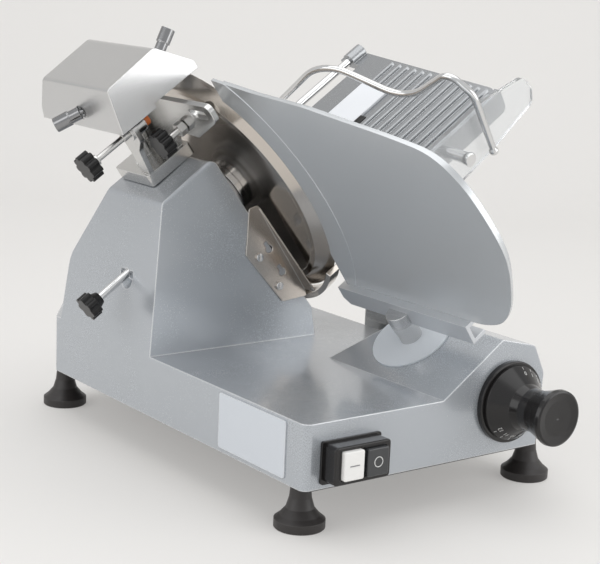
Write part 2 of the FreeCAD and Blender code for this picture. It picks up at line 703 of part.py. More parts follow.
def carriage_tray():
    v0, v1 = BED_V
    y0, y1 = BED_Y
    deck = prism([(v0, y0), (v1, y0), (v1, y1), (v0, y1)], "z", BED_TOP - BED_T, BED_TOP, [6, 14, 14, 6])
    flange = prism([(v0, 22), (v1, 22), (v1, BED_TOP), (v0, BED_TOP)], "y", y0, y0 + 6, [6, 8, 0, 0])
    back = box(v0 + 10, v1 - 14, PUSH_BAY_Y - 6, PUSH_BAY_Y, 28, BED_TOP - BED_T)
    rail = bar(RAIL_R, v0 + 6, v1 - 14, y0 + RAIL_R, BED_TOP - 0.6)
    tray = deck.fuse([flange, back, rail])
    y = y0 + 14
    while y < INSERT_Y[1]:
        first = v0 + 4 if y < INSERT_Y[0] - RIB_W else INSERT_V[1] + 4
        rib = [(y - RIB_W / 2, BED_TOP), (y + RIB_W / 2, BED_TOP), (y + RIB_W / 2 - 1.2, BED_TOP + RIB_H),
               (y - RIB_W / 2 + 1.2, BED_TOP + RIB_H)]
        tray = tray.fuse(prism(rib, "x", first, v1 - 6, [0, 0, 1.5, 1.5]))
        y += RIB_PITCH
    tray = tray.cut(box(PUSH_BOSS_V[0][1], PUSH_BOSS_V[1][0], PUSH_BAY_Y, y1 + 1, 20, BED_TOP + 1))
    for a, b in PUSH_BOSS_V:
        tray = tray.fuse(bar(PUSH_R + 4, a, b, PUSH_Y, PUSH_U))
    tray = tray.cut(bar(PUSH_R, PUSH_ROD_V[0], PUSH_ROD_V[1], PUSH_Y, PUSH_U))
    for v in SPACER_V:
        tray = tray.cut(bar_y(3, y0 - 1, y0 + 7, v, SPACER_U))
    return leaned(tray)


def tray_insert():
    a, b = INSERT_V
    c, d = INSERT_Y
    return leaned(prism([(a, c), (b, c), (b, d), (a, d)], "z", BED_TOP, BED_TOP + INSERT_T, 3.0))


def carriage_column():
    x0, x1 = COLUMN_X
    y0, y1 = COLUMN_Y
    column = prism([(x0, y0), (x1, y0), (x1, y1), (x0, y1)], "z", SLIDE_Z + 9.9, 400, 5.0)
    hollow = box(x0 + 4, x1 - 4, y0 + 4, y1 - 4, LEDGE_TOP + 4, 420)
    above = leaned(box(100, 800, 0, 700, BED_TOP - BED_T, 500))
    head = leaned(box(400, 500, 236, 310, BED_TOP - BED_T - 6, BED_TOP - BED_T))
    return column.cut(hollow).fuse(head).cut(above)


def carriage_slide_block():
    block = box(305, 337, 229, 309, 54, SLIDE_Z + 9.9)
    block = block.cut(bar_y(SLIDE_R + 1, 228, 310, SLIDE_X, SLIDE_Z))
    return block.cut([bar_y(BUSH_R, 229, 245, SLIDE_X, SLIDE_Z), bar_y(BUSH_R, 293, 309, SLIDE_X, SLIDE_Z)])


def carriage_bushes():
    rings = []
    for a, b in ((229, 245), (293, 309)):
        rings.append(bar_y(BUSH_R, a, b, SLIDE_X, SLIDE_Z).cut(bar_y(SLIDE_R + RUN, a, b, SLIDE_X, SLIDE_Z)))
    return group(rings)


def slide_rod():
    return bar_y(SLIDE_R, SLIDE_ROD_Y[0], SLIDE_ROD_Y[1], SLIDE_X, SLIDE_Z)


def hand_guard():
    outline = [(330, 12), (512, 24), (578, 34), (583, 50), (578, 71), (510, 85), (400, 85), (330, 60)]
    panel = prism(outline, "y", GUARD_YB[0], GUARD_YB[1], [14, 30, 10, 10, 12, 30, 30, 12])
    return leaned(panel.cut([bar_y(3, 180, 200, v, SPACER_U) for v in SPACER_V]))


def guard_spacers():
    spacers = []
    for v in SPACER_V:
        spacers.append(leaned(bar_y(7, GUARD_YB[1], BED_Y[0], v, SPACER_U).cut(
            bar_y(3, GUARD_YB[1] - 1, BED_Y[0] + 1, v, SPACER_U))))
    return group(spacers)


def guard_nuts():
    screws = []
    for v in SPACER_V:
        head = bar_y(8, GUARD_YB[0] - 4, GUARD_YB[0], v, SPACER_U)
        head = soften(head, 1.5, on_plane("Y", GUARD_YB[0] - 4))
        screws.append(leaned(head.fuse(bar_y(3, GUARD_YB[0], BED_Y[0] + 6, v, SPACER_U))))
    return group(screws)


# ---------------------------------------------------------------- pusher

PUSHER_WIRE = [(417, 457, 57), (425, 438, 86), (448, 360, 146), (474, 266, 95.5), (489, 198, 139),
               (496, 178, 108), (497, 178, 30)]
PUSHER_BENDS = [25.0, 60.0, 55.0, 15.0, 25.0]


def pusher_rod():
    return leaned(bar(PUSH_R, PUSH_ROD_V[0], PUSH_ROD_V[1], PUSH_Y, PUSH_U))


def pusher_bush():
    v0, v1 = SLEEVE_V
    sleeve = bar(SLEEVE_R, v0, v1, PUSH_Y, PUSH_U)
    sleeve = sleeve.fuse([bar(HUB_TUBE_R - 1, v0, v0 + 3, PUSH_Y, PUSH_U),
                          bar(HUB_TUBE_R - 1, v1 - 3, v1, PUSH_Y, PUSH_U)])
    return leaned(sleeve.cut(bar(PUSH_R + RUN, v0 - 1, v1 + 1, PUSH_Y, PUSH_U)))


def pusher_hub():
    v0, v1 = SLEEVE_V
    tube = bar(HUB_TUBE_R, v0 + 3.1, v1 - 3.1, PUSH_Y, PUSH_U)
    arm = box(v0 + 3.1, v0 + 13, PUSH_Y - 40, PUSH_Y - 4, BED_TOP + 3.8, BED_TOP + 20)
    hub = tube.fuse(arm).cut(bar(SLEEVE_R + RUN, v0, v1, PUSH_Y, PUSH_U))
    return leaned(hub.cut(swept_rod(PUSHER_WIRE, PUSHER_BENDS, WIRE_R)))


def pusher_wire():
    wire = swept_rod(PUSHER_WIRE, PUSHER_BENDS, WIRE_R)
    wire = wire.cut(bar(SLEEVE_R + 2, SLEEVE_V[0] - 10, SLEEVE_V[1] + 10, PUSH_Y, PUSH_U))
    ball = Part.makeSphere(WIRE_R + 1.5, Vector(*PUSHER_WIRE[-1]))
    return leaned(wire.fuse(ball))


def pusher_plate():
    v0 = SLEEVE_V[0] + 3.1
    teeth = [(240, 53.8), (432, 53.8), (432, 84), (240, 84)]
    plate = prism(teeth, "x", v0 - 4, v0, 5.0)
    plate = plate.cut(bar(HUB_TUBE_R + 2, v0 - 6, v0 + 2, PUSH_Y, PUSH_U))
    spikes = []
    for row in range(2):
        for i in range(12):
            y = 252 + 15 * i
            u = 62 + 13 * row
            spikes.append(Part.makeCone(2.6, 0.4, 5, Vector(v0 - 4, y, u), Vector(-1, 0, 0)))
    return leaned(plate.fuse(spikes))


# ---------------------------------------------------------------- sharpener

BRACKET_BOLTS = [(200.5, 343.0), (227.0, 330.0)]
HOOD = [(168, 309), (178, 357), (245, 361), (277, 323), (277, 314), (215, 314), (215, 309)]
HOOD_SIDE = [(269, 300), (269, 366), (398, 366), (433, 323), (442, 300)]
CLAMP_Y = 300.0
CLAMP_U = 293.0
LOCK_Y = 276.0
LOCK_U = 271.0


def sharpener_base():
    plate = prism([(185, 312), (246, 312), (246, 381), (185, 381)], "z", TOWER_TOP_U, SEAT_U, 4.0)
    left = prism([(312, SEAT_U), (324, SEAT_U), (324, 303), (289, 303), (289, 282), (304, 268)], "x", 188, 194,
                 [0, 0, 6, 8, 6, 8])
    right = prism([(318, SEAT_U), (381, SEAT_U), (378, 303), (206, 303), (206, 284), (258, 258), (300, 262)], "x",
                  234, 240, [0, 0, 8, 8, 8, 10, 10])
    sleeve = bar_z(13, SEAT_U, 303, POST_V, POST_Y)
    boss = bar(9, 186, 206, CLAMP_Y, CLAMP_U)
    tie = box(POST_V, 234, 366, 376, SEAT_U, 296)
    base = plate.fuse([left, right, sleeve, boss, tie])
    slot = prism([(216, 286), (248, 286), (248, 296), (216, 296)], "x", 230, 244, 4.9)
    base = base.cut([slot, bar_z(POST_R + RUN, SEAT_U, 305, POST_V, POST_Y),
                     bar(4.5, 180, 210, CLAMP_Y, CLAMP_U), bar(4 + RUN, 230, 244, LOCK_Y, LOCK_U)])
    return tilted(base.cut([bar_z(3, TOWER_TOP_U - 2, SEAT_U + 4, v, y) for v, y in BRACKET_BOLTS]))


def bracket_bolts():
    bolts = []
    for v, y in BRACKET_BOLTS:
        shank = bar_z(3, TOWER_TOP_U - 11, SEAT_U, v, y)
        bolts.append(tilted(shank.fuse(prism(hexagon(v, y, BOLT_R), "z", SEAT_U, SEAT_U + BOLT_H))))
    return group(bolts)


def sharpener_post():
    return tilted(bar_z(POST_R, SEAT_U + 2, 332, POST_V, POST_Y))


def spindle(start, direction, radius, a, b):
    """Round bar on a button's axis; distances run inwards from the button's base."""
    base = Vector(*start)
    way = Vector(*direction).normalize()
    return Part.makeCylinder(radius, b - a, base + way * a, way)


GRIND_AT = (168.0, 348.0, 325.0)
GRIND_IN = (0.855, -0.518, 0.0)
HONE_AT = (255.5, 280.0, 351.0)
HONE_IN = (-0.86, 0.0, -0.51)
STONE_R = 13.0
HONE_R = 8.0
GRIND_NECK_R = 6.8
HONE_NECK_R = 6.0


def hood_solid(gap):
    ridge = prism(inset(HOOD, gap), "y", 250, 460, [0, 5, 8, 5, 0, 0, 0] if gap == 0 else 0)
    side = prism(inset(HOOD_SIDE, gap), "x", 150, 300, [0, 3, 10, 10, 0] if gap == 0 else 0)
    return ridge.common(side)


def sharpener_head():
    plate = box(190, 262, 271.5, 420, 316, 320)
    hub = bar_z(14, 303.3, 334, POST_V, POST_Y)
    carrier = box(176, 194, 328, 360, 314.2, 335)
    hone_carrier = box(232, 246, 271.5, 289, 316, 350)
    head = plate.fuse([hub, carrier, hone_carrier])
    head = head.common(hood_solid(HOOD_T).fuse(bar_z(14, 303.3, 334, POST_V, POST_Y)))
    stone_room = spindle(GRIND_AT, GRIND_IN, STONE_R + 1.2, 29, 45)
    head = head.cut([stone_room, spindle(GRIND_AT, GRIND_IN, 3 + RUN, -5, 60),
                     spindle(GRIND_AT, GRIND_IN, GRIND_NECK_R + 0.5, -10, 11),
                     spindle(HONE_AT, HONE_IN, HONE_NECK_R + 0.5, -10, 11),
                     spindle(HONE_AT, HONE_IN, 3 + RUN, -10, 50),
                     spindle(HONE_AT, HONE_IN, HONE_R + 1.2, 20.5, 37),
                     bar_z(POST_R + RUN, 300, 332.3, POST_V, POST_Y)])
    return tilted(largest(head))


def largest(shape):
    return max(shape.Solids, key=lambda solid: solid.Volume)


def sharpener_cover():
    hood = hood_solid(0).cut(hood_solid(HOOD_T))
    hood = hood.cut(box(212, 300, 260, 440, 300, 318).common(hood_solid(HOOD_T * 1.001)))
    mouth = prism([(271.5, 300), (430, 300), (430, 318), (271.5, 318)], "x", 171, 274.5)
    hood = hood.cut([mouth, spindle(GRIND_AT, GRIND_IN, GRIND_NECK_R + 0.5, -10, 14),
                     spindle(HONE_AT, HONE_IN, HONE_NECK_R + 0.5, -10, 14)])
    return tilted(largest(hood))


def grind_button():
    cap = spindle(GRIND_AT, GRIND_IN, 8, -25, -8)
    neck = spindle(GRIND_AT, GRIND_IN, GRIND_NECK_R, -8, 4)
    return tilted(cap.fuse([neck, spindle(GRIND_AT, GRIND_IN, 3, 4, 38)]))


def grind_stone():
    disc = spindle(GRIND_AT, GRIND_IN, STONE_R, 31, 37)
    return tilted(disc.cut(spindle(GRIND_AT, GRIND_IN, 3 + RUN, 30, 39)))


def hone_button():
    cap = spindle(HONE_AT, HONE_IN, 7.3, -22, -7)
    neck = spindle(HONE_AT, HONE_IN, HONE_NECK_R, -7, 4)
    return tilted(cap.fuse([neck, spindle(HONE_AT, HONE_IN, 3, 4, 29)]))


def hone_stone():
    disc = spindle(HONE_AT, HONE_IN, HONE_R, 22, 28)
    return tilted(disc.cut(spindle(HONE_AT, HONE_IN, 3 + RUN, 21, 30)))


def clamp_knob():
    v0 = 125
    knob = star(v0, v0 + KNOB_T, CLAMP_Y, CLAMP_U, KNOB_CORE, KNOB_LOBE, 9)
    knob = knob.fuse(bar(6, v0 + KNOB_T, v0 + KNOB_T + 5, CLAMP_Y, CLAMP_U))
    return tilted(knob.fuse([bar(3.4, v0 + KNOB_T + 5, 178, CLAMP_Y, CLAMP_U),
                             bar(4.5 - RUN, 178, 206, CLAMP_Y, CLAMP_U)]))


def lock_knob():
    v0 = 197
    knob = star(v0, v0 + KNOB_T, LOCK_Y, LOCK_U, KNOB_CORE, KNOB_LOBE, 9)
    nut = prism(hexagon(LOCK_Y, LOCK_U, 8.0), "x", 225, 233)
    parts = [bar(4, v0 + KNOB_T, 262, LOCK_Y, LOCK_U), bar(7, 240.2, 246, LOCK_Y, LOCK_U),
             bar(9, 246, 262, LOCK_Y, LOCK_U)]
    return tilted(knob.fuse([nut] + parts))


NODES = {
    "body_casting": body_casting, "bottom_plate": bottom_plate, "feet": feet, "foot_screws": foot_screws,
    "label_plate": label_plate, "cord_gland": cord_gland,
    "motor": motor, "motor_pulley": motor_pulley, "drive_belt": drive_belt, "blade_pulley": blade_pulley,
    "blade_shaft": blade_shaft, "bearing_housing": bearing_housing, "bearings": bearings,
    "blade": blade, "blade_screws": blade_screws, "ring_guard": ring_guard, "blade_cover": blade_cover,
    "tie_rod": tie_rod, "star_knob": star_knob,
    "slice_deflector": slice_deflector, "deflector_screws": deflector_screws,
    "gauge_plate": gauge_plate, "gauge_bracket": gauge_bracket, "gauge_stem": gauge_stem,
    "gauge_slide_block": gauge_slide_block, "gauge_slide_rod": gauge_slide_rod, "splash_disc": splash_disc,
    "dial_shaft": dial_shaft, "dial_ring": dial_ring, "dial_knob": dial_knob,
    "switch_plate": switch_plate, "switch_housing": switch_housing,
    "start_button": lambda: button("start"), "stop_button": lambda: button("stop"),
    "carriage_tray": carriage_tray, "tray_insert": tray_insert, "carriage_column": carriage_column,
    "carriage_slide_block": carriage_slide_block, "carriage_bushes": carriage_bushes, "slide_rod": slide_rod,
    "hand_guard": hand_guard, "guard_spacers": guard_spacers, "guard_nuts": guard_nuts,
    "pusher_rod": pusher_rod, "pusher_bush": pusher_bush, "pusher_hub": pusher_hub,
    "pusher_wire": pusher_wire, "pusher_plate": pusher_plate,
    "sharpener_base": sharpener_base, "bracket_bolts": bracket_bolts, "sharpener_post": sharpener_post,
    "sharpener_head": sharpener_head, "sharpener_cover": sharpener_cover,
    "grind_button": grind_button, "grind_stone": grind_stone, "hone_button": hone_button,
    "hone_stone": hone_stone, "clamp_knob": clamp_knob, "lock_knob": lock_knob,
}

os.makedirs("parts", exist_ok=True)
for name, make in NODES.items():
    shape = make()
    shape.translate(Vector(-ORIGIN_X, -ORIGIN_Y, 0))
    limits = shape.BoundBox
    print("%-22s solids %d valid %s vol %.0f  x %.1f..%.1f y %.1f..%.1f z %.1f..%.1f" % (
        name, len(shape.Solids), shape.isValid(), shape.Volume, limits.XMin, limits.XMax, limits.YMin,
        limits.YMax, limits.ZMin, limits.ZMax))
    shape.exportStep("parts/%s.step" % name)
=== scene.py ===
# %% [markdown]
# A gravity feed slicer, dressed on its solid model. The solids already have every large shape, so
# this script gives each of them its finish. It also adds the small things that metal working
# doesn't give: the scale on the dial, the marks on the two switch buttons, a soft pad on the end
# of a screw, and a clip with its rivet on the carriage.
# %% The solid model
import json
import math

import bmesh
import bpy
from mathutils import Matrix, Vector


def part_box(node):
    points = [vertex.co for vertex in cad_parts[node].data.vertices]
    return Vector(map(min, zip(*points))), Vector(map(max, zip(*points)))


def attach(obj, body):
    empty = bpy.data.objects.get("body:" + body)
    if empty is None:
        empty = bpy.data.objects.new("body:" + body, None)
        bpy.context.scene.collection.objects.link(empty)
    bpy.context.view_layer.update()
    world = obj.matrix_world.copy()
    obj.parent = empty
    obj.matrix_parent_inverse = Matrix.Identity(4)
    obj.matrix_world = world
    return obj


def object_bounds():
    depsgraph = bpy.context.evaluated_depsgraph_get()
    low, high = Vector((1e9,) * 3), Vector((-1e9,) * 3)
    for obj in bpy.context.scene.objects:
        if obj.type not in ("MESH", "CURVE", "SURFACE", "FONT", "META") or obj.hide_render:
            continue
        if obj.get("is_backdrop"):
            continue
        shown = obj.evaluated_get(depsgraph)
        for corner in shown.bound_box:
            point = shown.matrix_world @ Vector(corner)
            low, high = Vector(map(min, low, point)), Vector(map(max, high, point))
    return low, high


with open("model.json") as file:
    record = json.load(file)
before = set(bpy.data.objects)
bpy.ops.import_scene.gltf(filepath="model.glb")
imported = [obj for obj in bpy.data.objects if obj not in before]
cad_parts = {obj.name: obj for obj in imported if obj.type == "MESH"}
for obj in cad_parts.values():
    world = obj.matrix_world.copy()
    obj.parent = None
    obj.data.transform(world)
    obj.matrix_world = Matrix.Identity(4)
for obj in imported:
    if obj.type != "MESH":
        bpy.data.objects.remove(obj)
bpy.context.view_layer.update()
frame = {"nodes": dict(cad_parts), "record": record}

# %% [markdown]
# The blade, the gauge plate and the carriage all lean by 35 degrees, so that the food slides to
# the blade by its own weight. Anything placed on them is easier to describe in leaning axes: V
# points out of the blade towards the carriage, and U points up along the blade. The machine's own
# zero lies at MACHINE_X and MACHINE_Y, and the blade turns about a line along V.
# %% Directions of the machine
TILT = math.radians(35.0)
V = Vector((math.cos(TILT), 0.0, math.sin(TILT)))
U = Vector((-math.sin(TILT), 0.0, math.cos(TILT)))
TILTED = Matrix((V, Vector((0, 1, 0)), U)).transposed().to_4x4()
MACHINE_X, MACHINE_Y = -0.1815, -0.2245
BLADE_AXIS = (Vector(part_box("blade_cover")[0]) + Vector(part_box("blade_cover")[1])) / 2
print("blade axis through", [round(c, 4) for c in BLADE_AXIS])


# %% [markdown]
# A finish is a small tree of nodes. Building such trees by hand in the node editor would work,
# but many finishes here differ only in their numbers, so short helpers build them. Noise is read
# in object coordinates, so it stays on a piece when the piece moves.
# %% Node helpers
def new_group(name, inputs, outputs):
    """An empty node group with named sockets, and its two end nodes."""
    tree = bpy.data.node_groups.new(name, "ShaderNodeTree")
    for label, kind, value in inputs:
        socket = tree.interface.new_socket(label, in_out="INPUT", socket_type="NodeSocket" + kind)
        socket.default_value = value
    for label, kind in outputs:
        tree.interface.new_socket(label, in_out="OUTPUT", socket_type="NodeSocket" + kind)
    return tree, tree.nodes.new("NodeGroupInput"), tree.nodes.new("NodeGroupOutput")


def add(tree, kind, values=None, **settings):
    """A shader node. The settings are its options, the values go into its sockets."""
    node = tree.nodes.new("ShaderNode" + kind)
    for key, value in settings.items():
        setattr(node, key, value)
    for label, value in (values or {}).items():
        node.inputs[label].default_value = value
    return node


def link(tree, a, b):
    tree.links.new(a, b)


def math_node(tree, operation, a, b=None, c=None, clamp=False):
    """One step of arithmetic. Each of a, b and c is a number or another node's output."""
    node = add(tree, "Math", operation=operation, use_clamp=clamp)
    for slot, value in enumerate((a, b, c)):
        if value is None:
            continue
        if isinstance(value, (int, float)):
            node.inputs[slot].default_value = value
        else:
            link(tree, value, node.inputs[slot])
    return node.outputs[0]


def object_noise(tree, values):
    noise = add(tree, "TexNoise", values)
    link(tree, add(tree, "TexCoord").outputs["Object"], noise.inputs["Vector"])
    return noise


def bumped(tree, gin, height, depth):
    """The normal that a height gives, on top of the soft edge's normal."""
    bump = add(tree, "Bump", {"Distance": depth})
    link(tree, height, bump.inputs["Height"])
    link(tree, gin.outputs["Strength"], bump.inputs["Strength"])
    link(tree, gin.outputs["Soft Edge"], bump.inputs["Normal"])
    return bump.outputs["Normal"]


print("helpers for groups, nodes, links, arithmetic, noise and bump")

# %% [markdown]
# Cast, painted and moulded surfaces are never quite smooth: they have a fine grain. Modelling it
# would need millions of faces, so noise bends the normal instead. The group is built once and
# shared, and each finish sets how fine and how strong its grain is.
# %% Fine grain
GRAIN_DEPTH = 0.0004      # metres, for a strength of 1
FLAT = (0.0, 0.0, 0.0)    # only a filler: every finish links a normal to "Soft Edge"


def grain_group():
    tree, gin, gout = new_group(
        "fine_grain",
        [("Scale", "Float", 900.0), ("Strength", "Float", 0.1), ("Soft Edge", "Vector", FLAT)],
        [("Normal", "Vector"), ("Value", "Float")])
    noise = object_noise(tree, {"Detail": 4.0})
    link(tree, gin.outputs["Scale"], noise.inputs["Scale"])
    link(tree, bumped(tree, gin, noise.outputs["Fac"], GRAIN_DEPTH), gout.inputs["Normal"])
    link(tree, noise.outputs["Fac"], gout.inputs["Value"])
    return tree


GRAIN = grain_group()
print("shared effect", GRAIN.name)

# %% [markdown]
# Hands and cloths rub the paint and the dirt off the edges of a machine first, and a rounded edge
# catches the light in a thin bright line. The edge colour that this mask lays on is partly the
# rubbed edge and partly a painted highlight. The Bevel node gives the normal of an edge as if it
# were rounded. Where that differs from the real normal there is an edge, and a little noise keeps
# the rubbed line from being even. The same rounded normal makes each edge catch the light.
# %% Rubbed edges and painted edge highlights
EDGE_SAMPLES = 6
EDGE_NOISE = {"Scale": 120.0, "Detail": 6.0}
EDGE_LEAST = 0.35         # what an edge keeps where the noise is lowest
EDGE_GAIN = 16.0


def wear_group():
    tree, gin, gout = new_group(
        "worn_and_lit_edges", [("Radius", "Float", 0.0012), ("Amount", "Float", 1.0)],
        [("Mask", "Float"), ("Normal", "Vector")])
    bevel = add(tree, "Bevel", samples=EDGE_SAMPLES)
    link(tree, gin.outputs["Radius"], bevel.inputs["Radius"])
    alike = add(tree, "VectorMath", operation="DOT_PRODUCT")
    link(tree, bevel.outputs["Normal"], alike.inputs[0])
    link(tree, add(tree, "NewGeometry").outputs["Normal"], alike.inputs[1])
    off = math_node(tree, "SUBTRACT", 1.0, alike.outputs["Value"])
    noise = object_noise(tree, EDGE_NOISE)
    uneven = math_node(tree, "ADD", noise.outputs["Fac"], EDGE_LEAST)
    patchy = math_node(tree, "MULTIPLY", off, uneven)
    strong = math_node(tree, "MULTIPLY", patchy, EDGE_GAIN, clamp=True)
    mask = math_node(tree, "MULTIPLY", strong, gin.outputs["Amount"], clamp=True)
    link(tree, mask, gout.inputs["Mask"])
    link(tree, bevel.outputs["Normal"], gout.inputs["Normal"])
    return tree


WORN_AND_LIT_EDGES = wear_group()
print("shared effect", WORN_AND_LIT_EDGES.name)

# %% [markdown]
# Handling and wiping leave faint patches, larger than the grain. A coarse noise, moved to lie
# round zero, can be added both to the colour and to the roughness.
# %% Blotches
NOISE_MIDDLE = 0.5


def blotch_group():
    tree, gin, gout = new_group(
        "handling_blotches", [("Scale", "Float", 14.0), ("Amount", "Float", 0.1)],
        [("Value", "Float")])
    noise = object_noise(tree, {"Detail": 5.0, "Roughness": 0.6})
    link(tree, gin.outputs["Scale"], noise.inputs["Scale"])
    centred = math_node(tree, "SUBTRACT", noise.outputs["Fac"], NOISE_MIDDLE)
    scaled = math_node(tree, "MULTIPLY", centred, gin.outputs["Amount"])
    link(tree, scaled, gout.inputs["Value"])
    return tree


BLOTCH = blotch_group()
print("shared effect", BLOTCH.name)

# %% [markdown]
# Steel that was ground on a belt has straight lines, and a blade that was turned has rings round
# its axis. Both come from one noise that is squeezed across the lines: "Rings" at 0 measures
# along U, and at 1 measures the distance from the blade's axis.
# %% Brushing
LINE_DEPTH = 0.0002       # metres, for a strength of 1
LINE_CHANGE = 9.0         # how fast a line changes along its own length
LINE_NOISE = {"Scale": 1.0, "Detail": 3.0}


def brush_group():
    tree, gin, gout = new_group(
        "brushing",
        [("Rings", "Float", 0.0), ("Fineness", "Float", 1400.0), ("Strength", "Float", 0.1),
         ("Soft Edge", "Vector", FLAT)],
        [("Value", "Float"), ("Normal", "Vector")])
    leaned = add(tree, "Mapping", {"Location": BLADE_AXIS, "Rotation": (0.0, -TILT, 0.0)},
                 vector_type="TEXTURE")
    link(tree, add(tree, "TexCoord").outputs["Object"], leaned.inputs["Vector"])
    split = add(tree, "SeparateXYZ")
    link(tree, leaned.outputs["Vector"], split.inputs[0])
    flat = add(tree, "CombineXYZ")
    for axis in "YZ":
        link(tree, split.outputs[axis], flat.inputs[axis])
    radius = add(tree, "VectorMath", operation="LENGTH")
    link(tree, flat.outputs[0], radius.inputs[0])
    straight = math_node(tree, "SUBTRACT", 1.0, gin.outputs["Rings"])
    lines = math_node(tree, "MULTIPLY", split.outputs["Z"], straight)
    rings = math_node(tree, "MULTIPLY", radius.outputs["Value"], gin.outputs["Rings"])
    across = math_node(tree, "ADD", lines, rings)
    squeezed = math_node(tree, "MULTIPLY", across, gin.outputs["Fineness"])
    along = math_node(tree, "MULTIPLY", split.outputs["Y"], LINE_CHANGE)
    stretched = add(tree, "CombineXYZ")
    link(tree, squeezed, stretched.inputs["X"])
    link(tree, along, stretched.inputs["Y"])
    noise = add(tree, "TexNoise", LINE_NOISE)
    link(tree, stretched.outputs[0], noise.inputs["Vector"])
    link(tree, noise.outputs["Fac"], gout.inputs["Value"])
    link(tree, bumped(tree, gin, noise.outputs["Fac"], LINE_DEPTH), gout.inputs["Normal"])
    return tree


BRUSH = brush_group()
print("shared effect", BRUSH.name)

# %% [markdown]
# One recipe makes all the opaque finishes. The blotches mix a second shade into the first, the
# edges show another colour that is partly rubbed wear and partly a painted highlight, and either
# grain or brushing bends the normal. Roughness wanders a little too, because no real surface is
# equally clean everywhere. One recipe for all keeps the finishes in one family, and a new finish is
# then only a line of numbers.
# %% The recipe
COAT_ROUGH = 0.1
ROUGH_FROM_TEXTURE = 0.03
ROUGH_FROM_BLOTCH = 0.2


def new_material(name, values):
    """A material with its one shader, whose even values are set on the shader itself."""
    material = bpy.data.materials.new(name)
    material.use_nodes = True
    tree = material.node_tree
    shader = tree.nodes["Principled BSDF"]
    for label, value in values.items():
        shader.inputs[label].default_value = value
    return material, tree, shader


def finish(name, colour, shade, rough, metallic=0.0, coat=0.0, grain=(900.0, 0.1),
           blotch=(14.0, 0.3), edge_colour_worn_and_lit=(0.5, 0.5, 0.5), edge_amount_worn_and_lit=0.6, edge=0.0012, brush=None,
           specular=0.5):
    """grain is scale and strength, blotch scale and amount, brush rings, fineness, strength."""
    material, tree, shader = new_material(name, {
        "Metallic": metallic, "Coat Weight": coat, "Coat Roughness": COAT_ROUGH,
        "Specular IOR Level": specular})
    patches = add(tree, "Group", {"Scale": blotch[0], "Amount": blotch[1]}, node_tree=BLOTCH)
    mix = add(tree, "Mix", {"A": (*colour, 1.0), "B": (*shade, 1.0)}, data_type="RGBA")
    amount = math_node(tree, "ADD", patches.outputs["Value"], NOISE_MIDDLE, clamp=True)
    link(tree, amount, mix.inputs["Factor"])
    # The edge colour mixed in here is partly rubbed wear and partly a painted highlight on each
    # edge.
    edge_mask_worn_and_lit = add(tree, "Group", {"Amount": edge_amount_worn_and_lit, "Radius": edge}, node_tree=WORN_AND_LIT_EDGES)
    edge_mix_worn_and_lit = add(tree, "Mix", {"B": (*edge_colour_worn_and_lit, 1.0)}, data_type="RGBA")
    link(tree, edge_mask_worn_and_lit.outputs["Mask"], edge_mix_worn_and_lit.inputs["Factor"])
    link(tree, mix.outputs["Result"], edge_mix_worn_and_lit.inputs["A"])
    link(tree, edge_mix_worn_and_lit.outputs["Result"], shader.inputs["Base Color"])
    if brush:
        values = {"Rings": brush[0], "Fineness": brush[1], "Strength": brush[2]}
    else:
        values = {"Scale": grain[0], "Strength": grain[1]}
    texture = add(tree, "Group", values, node_tree=BRUSH if brush else GRAIN)
    link(tree, edge_mask_worn_and_lit.outputs["Normal"], texture.inputs["Soft Edge"])
    centred = math_node(tree, "SUBTRACT", texture.outputs["Value"], NOISE_MIDDLE)
    uneven = math_node(tree, "MULTIPLY", centred, ROUGH_FROM_TEXTURE)
    handled = math_node(tree, "MULTIPLY", patches.outputs["Value"], ROUGH_FROM_BLOTCH)
    both = math_node(tree, "ADD", uneven, handled)
    link(tree, math_node(tree, "ADD", both, rough, clamp=True), shader.inputs["Roughness"])
    link(tree, texture.outputs["Normal"], shader.inputs["Normal"])
    return material


def grey(value):
    return (value, value, value)


FINISH = {}


def make_finishes(recipes):
    for name, recipe in recipes.items():
        FINISH[name] = finish(name, **recipe)
    print("finishes", ", ".join(recipes))


print("recipe for the opaque finishes")

# %% [markdown]
# The casting has a silver paint with a clear coat over it. The gauge plate and the carriage are
# aluminium that was anodised, which is duller than bare metal, so they are only partly metallic.
# %% Paint and alloys
# A near-white edge colour: a painted highlight along the edges of the paint and the anodised alloy,
# together with their rubbed wear.
EDGE_HIGHLIGHT_AND_WEAR = (0.92, 0.93, 0.94)
make_finishes({
    "silver_paint": dict(
        colour=(0.45, 0.475, 0.505), shade=(0.41, 0.435, 0.465), rough=0.27, metallic=0.4,
        coat=0.6, grain=(1100.0, 0.008), blotch=(7.0, 0.15), edge_colour_worn_and_lit=EDGE_HIGHLIGHT_AND_WEAR, edge_amount_worn_and_lit=0.85,
        edge=0.0018),
    "anodised": dict(
        colour=(0.62, 0.64, 0.665), shade=(0.57, 0.59, 0.615), rough=0.32, metallic=0.6,
        coat=0.15, grain=(1300.0, 0.01), edge_colour_worn_and_lit=EDGE_HIGHLIGHT_AND_WEAR, edge_amount_worn_and_lit=0.7, edge=0.0008),
    "plate_alloy": dict(
        colour=(0.63, 0.65, 0.665), shade=(0.60, 0.62, 0.635), rough=0.26, metallic=0.6,
        coat=0.3, grain=(900.0, 0.004), blotch=(7.0, 0.15), edge_colour_worn_and_lit=(0.8, 0.81, 0.82),
        edge_amount_worn_and_lit=0.12, edge=0.0007),
    "tray_alloy": dict(
        colour=(0.38, 0.39, 0.40), shade=(0.34, 0.35, 0.36), rough=0.27, metallic=0.8,
        grain=(1200.0, 0.02), blotch=(9.0, 0.15), edge_colour_worn_and_lit=(0.75, 0.76, 0.77), edge_amount_worn_and_lit=0.7,
        edge=0.0008),
})

